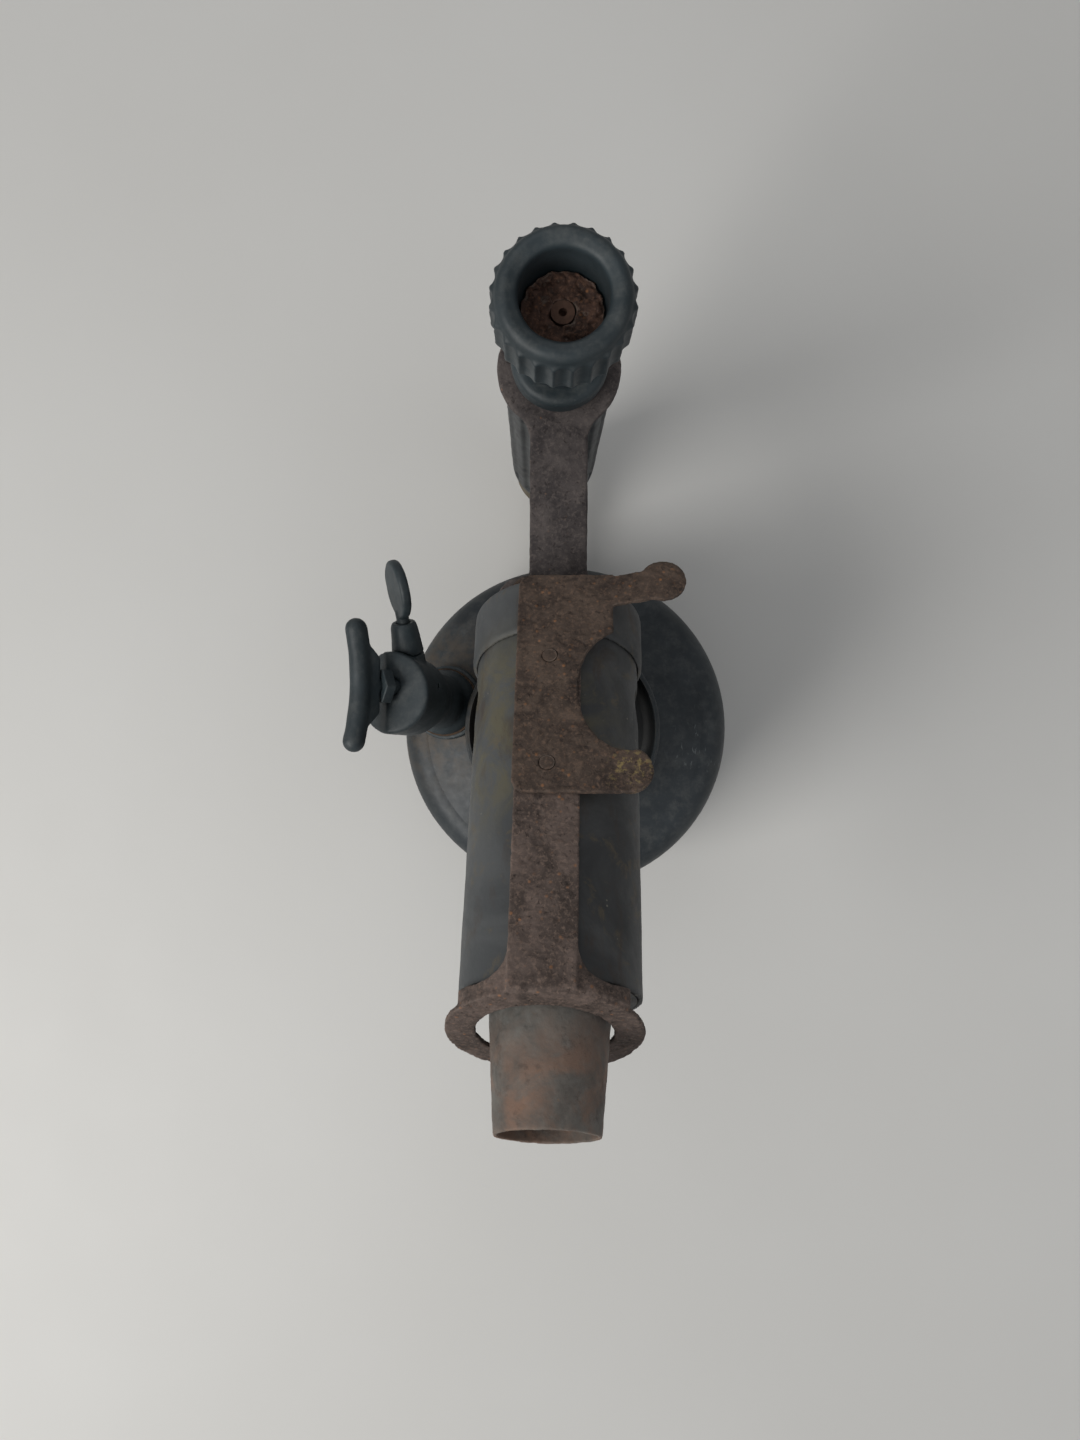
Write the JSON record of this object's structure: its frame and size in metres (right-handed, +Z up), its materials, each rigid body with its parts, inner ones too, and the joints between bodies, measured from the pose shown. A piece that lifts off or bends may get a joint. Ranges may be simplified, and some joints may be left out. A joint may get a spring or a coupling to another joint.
{
  "type": "blowlamp",
  "caption": "Small hand-pumped blowlamp: round fuel tank, tilted burner with an iron rest, and a pump inside the upright rear handle.",
  "frame": {"origin": "middle of the tank's flat underside, on the tank's own axis", "axes": "+Z up; -Y is the way the burner points; the handle with the pump is at +Y; the filler post is at -X"},
  "size_m": [0.1032, 0.1853, 0.1874],
  "materials": {
    "tank_enamel": "dark blue-green enamel, worn semi-gloss",
    "dark_casting": "dark blue-green paint over cast brass, rubbed",
    "burner_paint": "olive-grey heat-stained paint",
    "fired_steel": "scorched, mottled green and brown",
    "rusty_steel": "matt brown rust",
    "grip_bakelite": "dull black moulding",
    "aged_brass": "darkened",
    "bright_steel": "worn bright",
    "leather": "oiled",
    "cork_rubber": "dull",
    "wick_cotton": "soaked"
  },
  "bodies": {
    "lamp": {"tank_shell": "tank_enamel", "tank_base": "tank_enamel", "preheat_cup": "tank_enamel", "air_tube_boss": "tank_enamel", "filler_flange": "dark_casting", "filler_post": "dark_casting", "wing_packing_nut": "dark_casting", "air_screw_gland": "dark_casting", "pump_cap": "dark_casting", "burner_barrel": "burner_paint", "rear_collar": "burner_paint", "burner_body": "burner_paint", "barrel_front_ring": "burner_paint", "nozzle_tube": "fired_steel", "rest_strap": "rusty_steel", "rest_saddle": "rusty_steel", "rest_rivets": "rusty_steel", "handle_bracket": "rusty_steel", "bracket_screws": "rusty_steel", "handle_grip": "grip_bakelite", "neck_bush": "aged_brass", "neck_nut": "aged_brass", "burner_nut": "aged_brass", "riser_tube": "aged_brass", "jet_nipple": "aged_brass", "air_tube": "aged_brass", "pump_foot": "aged_brass", "foot_plug": "aged_brass", "pump_barrel": "aged_brass", "valve_seat": "aged_brass", "valve_spring": "bright_steel", "filler_seal": "leather", "wick": "wick_cotton"},
    "pump_plunger": {"pump_knob": "dark_casting", "knob_washer": "rusty_steel", "pump_rod": "bright_steel", "piston_leather": "leather", "piston_washer": "aged_brass", "piston_nut": "aged_brass"},
    "wing_screw_body": {"wing_screw": "dark_casting"},
    "air_screw_body": {"air_screw": "dark_casting"},
    "check_valve": {"valve_poppet": "cork_rubber"}
  },
  "joints": [
    {"name": "pump_stroke", "type": "slide", "parent": "lamp", "child": "pump_plunger", "axis": [0.0488, 0, 0.9988], "range_m": [0, 0.075]},
    {"name": "wing_turn", "type": "hinge", "parent": "lamp", "child": "wing_screw_body", "pos_m": [-0.04308, 0.01117, 0.11452], "axis": [-0.7506, 0.02, 0.6605], "range_deg": [0, 720]},
    {"name": "air_screw_turn", "type": "hinge", "parent": "lamp", "child": "air_screw_body", "pos_m": [-0.03834, 0.0092, 0.1034], "axis": [-0.09, 0.9205, 0.3802], "range_deg": [0, 720]},
    {"name": "check_valve_lift", "type": "slide", "parent": "lamp", "child": "check_valve", "axis": [-0.0488, 0, -0.9988], "range_m": [0, 0.002], "stiffness_N_per_m": 60, "springref_m": -0.001, "deforming": ["valve_spring"]}
  ]
}
